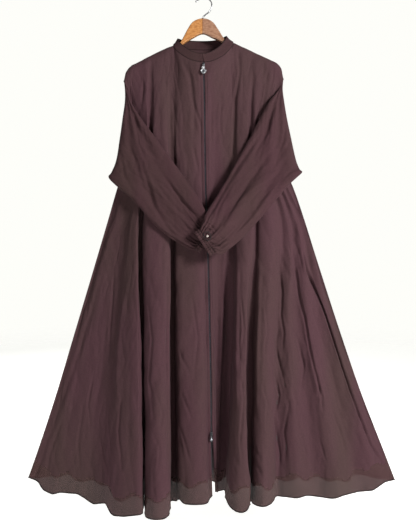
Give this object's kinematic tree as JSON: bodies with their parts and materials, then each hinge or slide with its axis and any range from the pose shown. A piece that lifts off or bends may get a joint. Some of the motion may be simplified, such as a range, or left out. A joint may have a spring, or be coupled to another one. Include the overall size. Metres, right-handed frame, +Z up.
{
  "type": "abaya on a hanger",
  "caption": "Long lined umbrella-cut abaya with a stand collar, full front zip and gathered cuffs, hung on a wooden hanger with its sleeves crossed in front.",
  "frame": {"origin": "inside top of the hanger's hook, where it rests on a rail", "axes": "+Z up, the garment's front faces -Y, the wearer's left is at +X"},
  "size_m": [1.0549, 0.2055, 1.4498],
  "materials": {
    "cloth": "matt crinkled georgette, dark plum brown",
    "lining": "smooth plain-weave lining, dark brown",
    "zip": "dark coil zip on woven tape",
    "steel": "polished nickel plate",
    "stone": "clear cut stones in a bright metal setting",
    "pearl": "pearlescent",
    "wood": "clear varnished, warm brown"
  },
  "bodies": {
    "garment": {"front_right_shoulder": "cloth", "front_right_bodice": "cloth", "front_right_skirt": "cloth", "front_left_shoulder": "cloth", "front_left_bodice": "cloth", "front_left_skirt": "cloth", "back_shoulder": "cloth", "back_bodice": "cloth", "back_skirt": "cloth", "sleeve_right": "cloth", "sleeve_left": "cloth", "collar": "cloth", "cuff_right": "cloth", "cuff_left": "cloth", "cuff_loop_right": "cloth", "cuff_loop_left": "cloth", "lining_front_right": "lining", "lining_front_left": "lining", "lining_back": "lining", "cuff_button_right": "pearl", "cuff_button_left": "pearl", "zip_chain": "zip", "zip_tape_right": "zip", "zip_tape_left": "zip", "slider_top": "steel", "slider_bottom": "steel", "hanger_hook": "steel", "hanger_wood": "wood"},
    "zip_pull_top": {"pull_top": "stone"},
    "zip_pull_bottom": {"pull_bottom": "stone"}
  },
  "joints": [
    {"name": "top_pull_swing", "type": "hinge", "parent": "garment", "child": "zip_pull_top", "pos_m": [-0.00132, -0.03779, -0.2025], "axis": [-1, 0, 0], "range_deg": [0, 150]},
    {"name": "bottom_pull_swing", "type": "hinge", "parent": "garment", "child": "zip_pull_bottom", "pos_m": [0.021, -0.0512, -1.24], "axis": [-1, 0, 0], "range_deg": [0, 150]}
  ]
}
